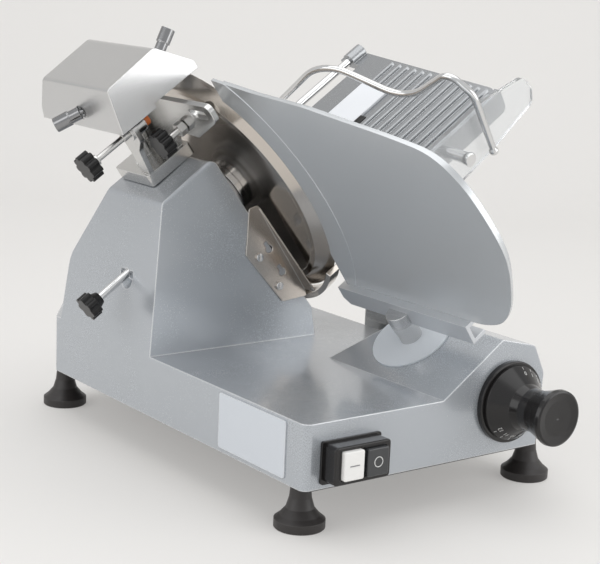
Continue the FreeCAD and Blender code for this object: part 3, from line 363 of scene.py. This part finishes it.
# %% [markdown]
# The steels differ in how they were worked. Bent sheet is brushed in straight lines, the blade
# and its guard are turned, the rods are polished, and the hood is satin. A metal has no colour of
# its own beside what it mirrors, so small steps in colour and roughness are enough.
# %% Steels and bronze
WARM_EDGE = (0.85, 0.83, 0.80)
make_finishes({
    "plain_steel": dict(
        colour=(0.66, 0.655, 0.645), shade=(0.58, 0.575, 0.56), rough=0.22, metallic=1.0,
        brush=(0.0, 1600.0, 0.06), edge_colour_worn_and_lit=grey(0.85)),
    "warm_steel": dict(
        colour=(0.62, 0.575, 0.53), shade=(0.54, 0.49, 0.44), rough=0.22, metallic=1.0,
        brush=(0.0, 1500.0, 0.06), edge_colour_worn_and_lit=WARM_EDGE),
    "ring_steel": dict(
        colour=(0.64, 0.60, 0.555), shade=(0.54, 0.49, 0.44), rough=0.16, metallic=1.0,
        brush=(1.0, 1900.0, 0.08), edge_colour_worn_and_lit=WARM_EDGE),
    "bright_steel": dict(
        colour=grey(0.74), shade=grey(0.66), rough=0.1, metallic=1.0, grain=(600.0, 0.02),
        edge_colour_worn_and_lit=grey(0.85)),
    "satin_steel": dict(
        colour=grey(0.64), shade=grey(0.60), rough=0.25, metallic=0.95, grain=(1500.0, 0.02),
        blotch=(9.0, 0.2), edge_colour_worn_and_lit=grey(0.95), edge_amount_worn_and_lit=0.9),
    "dark_chrome": dict(
        colour=(0.34, 0.34, 0.345), shade=(0.26, 0.26, 0.265), rough=0.14, metallic=1.0,
        grain=(700.0, 0.03), edge_colour_worn_and_lit=grey(0.7)),
    "cast_dark": dict(
        colour=(0.10, 0.10, 0.105), shade=(0.07, 0.07, 0.075), rough=0.55, metallic=0.4,
        grain=(500.0, 0.3), edge_colour_worn_and_lit=grey(0.25)),
    "bronze": dict(
        colour=(0.50, 0.33, 0.14), shade=(0.42, 0.26, 0.10), rough=0.3, metallic=1.0,
        edge_colour_worn_and_lit=(0.7, 0.5, 0.3)),
    "dark_plate": dict(
        colour=(0.035, 0.035, 0.038), shade=(0.028, 0.028, 0.03), rough=0.5, edge_colour_worn_and_lit=grey(0.12)),
})

# %% [markdown]
# The dial, the switch and the knobs are moulded plastic, and the feet are rubber. Black things
# show their shape only by what they mirror, so each black has its own roughness: the dial is
# smooth, the knobs are duller, and the rubber is matt with a strong grain.
# %% Plastics, rubber and stone
make_finishes({
    "black_plastic": dict(
        colour=(0.010, 0.009, 0.009), shade=(0.014, 0.013, 0.013), rough=0.2, coat=0.1,
        grain=(700.0, 0.03), edge_colour_worn_and_lit=(0.035, 0.033, 0.032), specular=0.4),
    "knob_black": dict(
        colour=grey(0.008), shade=(0.013, 0.012, 0.012), rough=0.3, grain=(800.0, 0.05),
        edge_colour_worn_and_lit=grey(0.03), specular=0.3),
    "white_insert": dict(
        colour=(0.82, 0.84, 0.87), shade=(0.79, 0.81, 0.84), rough=0.3, grain=(900.0, 0.04),
        edge_colour_worn_and_lit=grey(0.9)),
    "black_rubber": dict(
        colour=(0.024, 0.021, 0.020), shade=(0.034, 0.030, 0.029), rough=0.45,
        grain=(1600.0, 0.2), edge_colour_worn_and_lit=(0.06, 0.055, 0.05)),
    "white_plastic": dict(
        colour=(0.84, 0.83, 0.81), shade=(0.80, 0.79, 0.77), rough=0.3, grain=(900.0, 0.04),
        edge_colour_worn_and_lit=(0.88, 0.87, 0.86)),
    "label_foil": dict(
        colour=(0.60, 0.63, 0.67), shade=(0.57, 0.60, 0.64), rough=0.38, grain=(2200.0, 0.05),
        edge_colour_worn_and_lit=grey(0.85)),
    "grey_plastic": dict(
        colour=(0.024, 0.026, 0.028), shade=(0.030, 0.032, 0.035), rough=0.2, coat=0.4,
        grain=(900.0, 0.04), edge_colour_worn_and_lit=grey(0.07)),
    "orange_plastic": dict(
        colour=(0.80, 0.20, 0.04), shade=(0.70, 0.16, 0.03), rough=0.35, grain=(900.0, 0.04),
        edge_colour_worn_and_lit=(0.85, 0.35, 0.15)),
    "grinding_stone": dict(
        colour=(0.62, 0.20, 0.05), shade=(0.48, 0.16, 0.05), rough=0.8, grain=(2600.0, 0.8),
        edge_colour_worn_and_lit=(0.65, 0.3, 0.15)),
})

# %% [markdown]
# The hand guard is clear plastic and the splash disc behind the gauge plate is milky. Light has
# to pass through them, so they use the shader's transmission. Wiping leaves a trace of roughness,
# which comes from the same grain. They have no rubbed edges, so their own normal goes on.
# %% Clear and milky plastic
PLASTIC_IOR = 1.45
ROUGH_FROM_WIPING = 0.1


def clear(name, tint, rough, through, grain):
    material, tree, shader = new_material(name, {
        "Base Color": (*tint, 1.0), "Metallic": 0.0, "Transmission Weight": through,
        "IOR": PLASTIC_IOR})
    texture = add(tree, "Group", {"Scale": grain[0], "Strength": grain[1]}, node_tree=GRAIN)
    link(tree, add(tree, "NewGeometry").outputs["Normal"], texture.inputs["Soft Edge"])
    wiped = math_node(tree, "MULTIPLY_ADD", texture.outputs["Value"], ROUGH_FROM_WIPING, rough)
    link(tree, wiped, shader.inputs["Roughness"])
    link(tree, texture.outputs["Normal"], shader.inputs["Normal"])
    return material


FINISH["clear_guard"] = clear("clear_guard", (0.95, 0.965, 0.975), 0.02, 0.86, (240.0, 0.003))
FINISH["milky_disc"] = clear("milky_disc", (0.80, 0.84, 0.88), 0.25, 0.3, (500.0, 0.01))
print("finishes clear_guard, milky_disc")

# %% [markdown]
# Each sharpener knob is a black moulding on a bright steel stem, and the two are one solid. They
# could be split in the solid model, but they never come apart, so the material changes from black
# to steel at a place along V instead.
# %% Knobs on their stems
STEM_COLOUR = (0.70, 0.69, 0.67, 1.0)
STEM_STARTS = {"clamp_knob": 0.138, "lock_knob": 0.210}      # metres along V, in the machine


def knob_on_stem(name, limit):
    material = FINISH["knob_black"].copy()
    material.name = name
    tree = material.node_tree
    shader = tree.nodes["Principled BSDF"]
    along = add(tree, "VectorMath", operation="DOT_PRODUCT")
    link(tree, add(tree, "TexCoord").outputs["Object"], along.inputs[0])
    along.inputs[1].default_value = V
    steel = math_node(tree, "GREATER_THAN", along.outputs["Value"], limit)
    mix = add(tree, "Mix", {"B": STEM_COLOUR}, data_type="RGBA")
    link(tree, steel, mix.inputs["Factor"])
    link(tree, shader.inputs["Base Color"].links[0].from_socket, mix.inputs["A"])
    link(tree, mix.outputs["Result"], shader.inputs["Base Color"])
    link(tree, steel, shader.inputs["Metallic"])
    return material


for name, start in STEM_STARTS.items():
    FINISH[name] = knob_on_stem(name, start + MACHINE_X * math.cos(TILT))
print("finishes", ", ".join(STEM_STARTS))

# %% [markdown]
# Which solid has which finish. The parts list already names a slot for every solid, and a finish
# of the same name exists for most of them. The ones below look different from others in their
# slot, so they have a finish of their own. Only the material changes, never the mesh.
# %% Dressing the solids
SPECIAL = {
    "blade": "ring_steel", "blade_cover": "ring_steel", "ring_guard": "ring_steel",
    "slice_deflector": "warm_steel", "sharpener_cover": "satin_steel",
    "sharpener_post": "bright_steel", "label_plate": "label_foil",
    "hand_guard": "clear_guard", "splash_disc": "milky_disc", "clamp_knob": "clamp_knob",
    "lock_knob": "lock_knob", "grind_button": "dark_chrome", "hone_button": "dark_chrome",
    "gauge_stem": "satin_steel", "sharpener_base": "plain_steel",
    "carriage_column": "plain_steel", "gauge_plate": "plate_alloy",
    "carriage_tray": "tray_alloy", "tray_insert": "white_insert", "star_knob": "knob_black",
}
slots = {part["node"]: part["material_slot"] for part in frame["record"]["subparts"]}
for node, piece in frame["nodes"].items():
    material = FINISH[SPECIAL.get(node) or slots[node]]
    for place in piece.material_slots:
        place.material = material
    if not piece.material_slots:
        piece.data.materials.append(material)
print("dressed", len(frame["nodes"]), "solids,", len(SPECIAL), "with a finish of their own")


# %% [markdown]
# The small pieces that follow are new objects. Each is put in its place, gets its material, and
# rides on the body that carries it, so that it moves along.
# Printed characters are text with a hair of depth, and printed lines are thin round curves. An
# image would be flat and could blur, and these stay sharp from any distance.
# %% Helpers for small pieces
INK = 0.00012             # half the depth of a printed character, in metres
ROUND_STEPS = 2


def into_scene(name, data):
    piece = bpy.data.objects.new(name, data)
    bpy.context.scene.collection.objects.link(piece)
    return piece


def small_piece(name, data, matrix, material, body):
    piece = into_scene(name, data)
    piece.matrix_world = matrix
    data.materials.append(material)
    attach(piece, body)
    return piece


def printed(name, text, size, matrix, material, body):
    letters = bpy.data.curves.new(name, "FONT")
    letters.body = text
    letters.size = size
    letters.extrude = INK
    letters.align_x = "CENTER"
    letters.align_y = "CENTER"
    small_piece(name, letters, matrix, material, body)


def stroke(name, points, width, matrix, material, body):
    line = bpy.data.curves.new(name, "CURVE")
    line.dimensions = "3D"
    line.bevel_depth = width / 2
    line.bevel_resolution = ROUND_STEPS
    line.use_fill_caps = True
    run = line.splines.new("POLY")
    run.points.add(len(points) - 1)
    for point, place in zip(run.points, points):
        point.co = (*place, 1.0)
    small_piece(name, line, matrix, material, body)


WHITE_PRINT = finish("white_print", (0.84, 0.84, 0.82), (0.80, 0.80, 0.78), 0.45,
                     grain=(1800.0, 0.05))
GREY_PRINT = finish("grey_print", (0.15, 0.15, 0.16), (0.12, 0.12, 0.13), 0.45,
                    grain=(1800.0, 0.05))
print("two printing inks, characters and lines")

# %% [markdown]
# The dial sets how thick a slice is. It is turned by hand, and its cone carries white numbers
# with a short line under each. They are set on the cone one by one: each needs its own place and
# its own turn, with its side along the edge, its top up the slope, and its face out of the cone.
# %% Dial scale
low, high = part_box("dial_knob")
DIAL = Vector(((low[0] + high[0]) / 2, high[1], (low[2] + high[2]) / 2))
CONE_BACK = (0.0027, 0.0380)      # distance in front of the cone's root, radius
CONE_FRONT = (0.0197, 0.0240)
CONE_LENGTH = CONE_FRONT[0] - CONE_BACK[0]
CONE_GROWTH = CONE_FRONT[1] - CONE_BACK[1]
NUMBER_COUNT, NUMBER_SIZE = 13, 0.0064
FIRST_ANGLE, NEXT_ANGLE = 10.0, 18.0      # degrees from the top, clockwise from the front
NUMBER_AT, LINE_AT = 0.42, 0.13           # share of the way from the back to the front
NUMBER_LIFT = 0.0001
LINE_HALF, LINE_WIDTH = 0.0015, 0.0007


def on_cone(outward, share):
    front = CONE_BACK[0] + CONE_LENGTH * share
    radius = CONE_BACK[1] + CONE_GROWTH * share
    return Vector((DIAL.x, DIAL.y - front, DIAL.z)) + outward * radius


for i in range(NUMBER_COUNT):
    angle = math.radians(FIRST_ANGLE + NEXT_ANGLE * i)
    outward = Vector((math.sin(angle), 0.0, math.cos(angle)))
    side = Vector((math.cos(angle), 0.0, -math.sin(angle)))
    up = -Vector((outward.x * CONE_GROWTH, -CONE_LENGTH, outward.z * CONE_GROWTH)).normalized()
    face = side.cross(up).normalized()
    turned = Matrix((side, up, face)).transposed().to_4x4()
    spot = on_cone(outward, NUMBER_AT) + face * NUMBER_LIFT
    printed("dial_number_%02d" % i, str(i), NUMBER_SIZE, Matrix.Translation(spot) @ turned,
            WHITE_PRINT, "dial")
    spot = on_cone(outward, LINE_AT)
    stroke("dial_line_%02d" % i, [(0, -LINE_HALF, 0), (0, LINE_HALF, 0)], LINE_WIDTH,
           Matrix.Translation(spot) @ turned, WHITE_PRINT, "dial")
print("dial scale 0 to", NUMBER_COUNT - 1)

# %% [markdown]
# The start button carries a bar and the stop button a ring, as on any mains switch. They are the
# same thin curves as the dial's lines, laid on the front of each button.
# %% Switch marks
FACING_FRONT = Matrix(((1, 0, 0), (0, 0, -1), (0, 1, 0))).to_4x4()
BAR_HALF, BAR_WIDTH = 0.0055, 0.0011
RING_RADIUS, RING_WIDTH, RING_HALF_STEPS = 0.0048, 0.0009, 12


def on_button(node):
    low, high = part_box(node)
    middle = Vector(((low[0] + high[0]) / 2, low[1], (low[2] + high[2]) / 2))
    return Matrix.Translation(middle) @ FACING_FRONT


stroke("start_mark", [(-BAR_HALF, 0, 0), (BAR_HALF, 0, 0)], BAR_WIDTH,
       on_button("start_button"), GREY_PRINT, "start")
ring = []
for step in range(2 * RING_HALF_STEPS + 1):
    angle = step * math.pi / RING_HALF_STEPS
    ring.append((RING_RADIUS * math.cos(angle), RING_RADIUS * math.sin(angle), 0))
stroke("stop_mark", ring, RING_WIDTH, on_button("stop_button"), WHITE_PRINT,
       "stop")
print("switch marks: a bar and a ring")

# %% [markdown]
# Two soft pieces finish the metalwork. An orange pad on the end of the clamp screw presses on the
# post without scratching it, and a black clip with a rivet holds the white strip on the carriage.
# Each starts as a plain cylinder or box and gets a small bevel, because no moulding has a sharp
# edge. Their places are v, y and u in the machine, in millimetres, and the carriage's bed leans
# by 8 degrees more.
# %% Pad and clip
BED_LEAN = math.radians(8.0)
DISC_SIDES = 40
BEVEL_STEPS = 3


def place_tilted(v, y, u, lean=0.0):
    turned = TILTED @ Matrix.Rotation(lean, 4, "X")
    spot = Matrix.Translation(Vector((v, y, u)) / 1000)
    return Matrix.Translation(Vector((MACHINE_X, MACHINE_Y, 0.0))) @ turned @ spot


def rounded(name, build, matrix, bevel, material, body):
    """A solid from one of the two builders below, with its edges rounded."""
    shape = bmesh.new()
    build(shape)
    mesh = bpy.data.meshes.new(name)
    shape.to_mesh(mesh)
    shape.free()
    piece = small_piece(name, mesh, matrix, FINISH[material], body)
    edges = piece.modifiers.new("edges", "BEVEL")
    edges.width = bevel
    edges.segments = BEVEL_STEPS


def disc(radius, length, turned=Matrix()):
    def build(shape):
        bmesh.ops.create_cone(shape, cap_ends=True, segments=DISC_SIDES, radius1=radius,
                              radius2=radius, depth=length, matrix=turned)
    return build


def block(length, width, height):
    def build(shape):
        bmesh.ops.create_cube(shape, size=1.0, matrix=Matrix.Diagonal((length, width, height, 1.0)))
    return build


rounded("clamp_pad", disc(0.0062, 0.0072, Matrix.Rotation(math.pi / 2, 4, "Y")),
        place_tilted(209.8, 300.0, 293.0), 0.0012, "orange_plastic", "clamp")
rounded("insert_clip", block(0.026, 0.0094, 0.0034), place_tilted(455.0, 352.1, 51.75, BED_LEAN),
        0.001, "black_plastic", "carriage")
rounded("insert_clip_rivet", disc(0.0024, 0.0012), place_tilted(450.0, 352.1, 53.6, BED_LEAN),
        0.0004, "bright_steel", "carriage")
print("pad, clip and rivet")

# %% [markdown]
# The machine stands on pale paper that sweeps up into the background, as in a studio: a bend in
# place of a corner leaves no line behind the object. Seen directly, in metal or through plastic
# the paper also glows a little, which keeps its shadows pale without more light on the machine.
# %% Floor
YAW = math.radians(36.91)         # the way the camera looks, from +y towards +x
TOWARD = Vector((math.sin(YAW), math.cos(YAW), 0.0))
ACROSS = Vector((math.cos(YAW), -math.sin(YAW), 0.0))
FLOOR_FROM, BEND_FROM, BEND_RADIUS, BEND_STEPS = -4.0, 1.6, 0.8, 12
WALL_TOP, HALF_WIDTH = 4.0, 6.0
GLOW = 0.4


def paper():
    material = finish("paper", (0.80, 0.785, 0.765), (0.78, 0.765, 0.745), 0.75,
                      grain=(90.0, 0.02))
    tree = material.node_tree
    shader = tree.nodes["Principled BSDF"]
    ray = add(tree, "LightPath")
    seen = math_node(tree, "ADD", ray.outputs["Is Camera Ray"], ray.outputs["Is Glossy Ray"])
    seen = math_node(tree, "ADD", seen, ray.outputs["Is Transmission Ray"], clamp=True)
    glow = add(tree, "Emission")
    link(tree, shader.inputs["Base Color"].links[0].from_socket, glow.inputs["Color"])
    both = add(tree, "MixShader")
    link(tree, math_node(tree, "MULTIPLY", seen, GLOW), both.inputs["Fac"])
    link(tree, shader.outputs["BSDF"], both.inputs[1])
    link(tree, glow.outputs["Emission"], both.inputs[2])
    link(tree, both.outputs[0], tree.nodes["Material Output"].inputs["Surface"])
    material.cycles.emission_sampling = "NONE"
    return material


def sweep_floor():
    profile = [(FLOOR_FROM, 0.0), (BEND_FROM, 0.0)]
    for step in range(1, BEND_STEPS + 1):
        angle = step * math.pi / (2 * BEND_STEPS)
        profile.append((BEND_FROM + BEND_RADIUS * math.sin(angle),
                        BEND_RADIUS - BEND_RADIUS * math.cos(angle)))
    profile.append((BEND_FROM + BEND_RADIUS, WALL_TOP))
    points = []
    for run, height in profile:
        for reach in (-HALF_WIDTH, HALF_WIDTH):
            points.append(TOWARD * run + ACROSS * reach + Vector((0, 0, height)))
    faces = [(2 * i, 2 * i + 1, 2 * i + 3, 2 * i + 2) for i in range(len(profile) - 1)]
    mesh = bpy.data.meshes.new("floor")
    mesh.from_pydata([tuple(p) for p in points], [], faces)
    for face in mesh.polygons:
        face.use_smooth = True
    mesh.materials.append(paper())
    piece = into_scene("floor", mesh)
    piece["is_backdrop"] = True
    print("floor and backdrop,", len(faces), "strips")


sweep_floor()

# %% [markdown]
# The camera stands in front of the switch, looks a little down, and is rolled by a small angle,
# as a camera held by hand is. Its three directions are written out from the angles, because a
# matrix then says exactly where each axis of the picture points.
# %% Camera
PITCH = math.radians(-11.92)
ROLL = math.radians(2.43)
CAMERA_PLACE = Vector((-1.0044, -1.3020, 0.5348))
forward = Vector((math.sin(YAW) * math.cos(PITCH), math.cos(YAW) * math.cos(PITCH),
                  math.sin(PITCH)))
above = ACROSS.cross(forward)
right = ACROSS * math.cos(ROLL) + above * math.sin(ROLL)
top = above * math.cos(ROLL) - ACROSS * math.sin(ROLL)
camera = into_scene("camera", bpy.data.cameras.new("camera"))
turned = Matrix((right, top, -forward)).transposed().to_4x4()
camera.matrix_world = Matrix.Translation(CAMERA_PLACE) @ turned
camera.data.sensor_width = 36.0
camera.data.lens = 93.44
camera.data.clip_end = 50.0
bpy.context.scene.camera = camera
print("camera", [round(c, 3) for c in camera.matrix_world.translation])


# %% [markdown]
# Metal shows what stands round it, so the lamps are large soft panels: one above, one at the
# front right and one at the left. The pale world fills the rest, so that no face that leans away
# from the panels goes black.
# %% Lights
def panel(name, place, target, size, power):
    """A soft box of size metres and power watts, turned towards its target."""
    light = bpy.data.lights.new(name, "AREA")
    light.shape = "RECTANGLE"
    light.size, light.size_y = size
    light.energy = power
    piece = into_scene(name, light)
    piece.location = place
    toward = Vector(target) - Vector(place)
    piece.rotation_euler = toward.to_track_quat("-Z", "Y").to_euler()


panel("panel_top", (0.0, -0.1, 2.2), (0.0, 0.0, 0.2), (2.6, 2.6), 23.0)
panel("panel_front_right", (1.5, -1.9, 0.85), (0.0, 0.0, 0.25), (1.9, 1.5), 18.0)
panel("panel_left", (-2.2, 0.1, 0.9), (0.0, 0.0, 0.25), (2.3, 1.5), 13.5)

world = bpy.data.worlds.new("studio")
bpy.context.scene.world = world
world.use_nodes = True
background = world.node_tree.nodes["Background"]
background.inputs["Color"].default_value = (0.86, 0.87, 0.88, 1.0)
background.inputs["Strength"].default_value = 0.82
bpy.context.scene.view_settings.view_transform = "Standard"
bpy.context.scene.view_settings.look = "None"
print("3 panels and the world")

# %% [markdown]
# The box of the finished scene, without the floor, is measured and printed. The finished scene
# has to stay inside the box of the solids.
# %% Sizes
low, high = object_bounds()
print("scene box", [round(c, 4) for c in low], [round(c, 4) for c in high])
